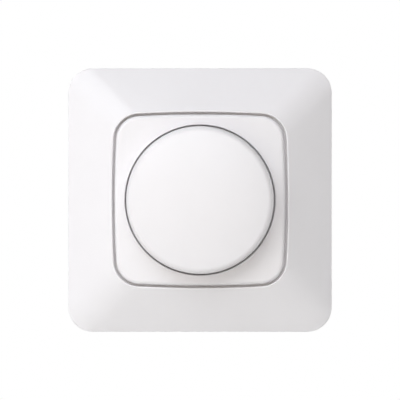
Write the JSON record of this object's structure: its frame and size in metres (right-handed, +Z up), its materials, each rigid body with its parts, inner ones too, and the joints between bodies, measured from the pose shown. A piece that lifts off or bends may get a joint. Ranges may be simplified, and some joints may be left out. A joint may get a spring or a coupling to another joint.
{
  "type": "rotary dimmer switch",
  "caption": "Square white wall dimmer: a plain crowned knob turns and pushes in a round recess of the centre plate, framed by sloping sides, on a steel plate with an insert behind.",
  "frame": {"origin": "on the knob's axis, in the plane of the wall face that the frame rests on", "axes": "+X to the right, +Y into the wall along the knob's axis, +Z up; the front faces -Y"},
  "size_m": [0.085, 0.0482, 0.085],
  "materials": {
    "white_plastic": "satin moulded",
    "grey_plastic": "fine spark-eroded moulding",
    "black_plastic": "satin moulded",
    "nylon": "matt moulded",
    "phenolic": "pressed laminate",
    "carbon": "printed film",
    "epoxy": "matt moulded",
    "capacitor_case": "gloss moulded",
    "capacitor_sleeve": "shrunk sleeve",
    "board_laminate": "lacquered laminate",
    "silicone": "matt sheet",
    "ferrite": "coated",
    "zinc_steel": "zinc plated",
    "spring_steel": "bright",
    "tinned_copper": "tinned",
    "plain_brass": "turned",
    "bronze": "rolled",
    "copper_wire": "lacquered wire",
    "plain_aluminium": "mill finish"
  },
  "bodies": {
    "insert": {"cover_frame": "white_plastic", "centre_plate": "white_plastic", "fixing_nut": "zinc_steel", "fixing_washer": "zinc_steel", "bush": "plain_brass", "lock_nut": "zinc_steel", "lock_washer": "zinc_steel", "pot_case": "zinc_steel", "track_wafer": "phenolic", "carbon_track": "carbon", "pot_pins": "tinned_copper", "switch_case": "black_plastic", "return_spring": "spring_steel", "switch_pins": "tinned_copper", "support_plate": "zinc_steel", "housing_cover": "grey_plastic", "rear_housing": "grey_plastic", "housing_screws": "zinc_steel", "heat_sink": "plain_aluminium", "sink_screw": "zinc_steel", "power_transistor": "epoxy", "transistor_leads": "tinned_copper", "insulating_pad": "silicone", "transistor_screw": "zinc_steel", "circuit_board": "board_laminate", "choke_core": "ferrite", "choke_winding": "copper_wire", "film_capacitor": "capacitor_case", "can_capacitor": "capacitor_sleeve", "trimmer_base": "black_plastic", "controller_chip": "epoxy", "terminal_block": "black_plastic", "terminal_cages": "plain_brass", "terminal_screws": "zinc_steel"},
    "wiper": {"wiper_rotor": "nylon", "wiper_contact": "bronze"},
    "knob": {"rotary_knob": "white_plastic", "knob_clip": "spring_steel", "shaft": "plain_aluminium", "shaft_clip": "spring_steel"},
    "plunger": {"switch_plunger": "nylon"},
    "trimmer": {"trimmer_rotor": "nylon"}
  },
  "joints": [
    {"name": "knob_turn", "type": "hinge", "parent": "insert", "child": "wiper", "pos_m": [0, 0, 0], "axis": [0, 1, 0], "range_deg": [0, 285]},
    {"name": "knob_press", "type": "slide", "parent": "wiper", "child": "knob", "axis": [0, 1, 0], "range_m": [0, 0.0015], "stiffness_N_per_m": 2500, "springref_m": -0.0008},
    {"name": "plunger_press", "type": "slide", "parent": "insert", "child": "plunger", "axis": [0, 1, 0], "range_m": [0, 0.0015], "deforming": ["return_spring"]},
    {"name": "trimmer_turn", "type": "hinge", "parent": "insert", "child": "trimmer", "pos_m": [0.012, 0.0174, -0.0115], "axis": [0, 1, 0], "range_deg": [-135, 135]}
  ],
  "couplings": [
    {"joint": "plunger_press", "follows": "knob_press", "ratio": 1}
  ]
}
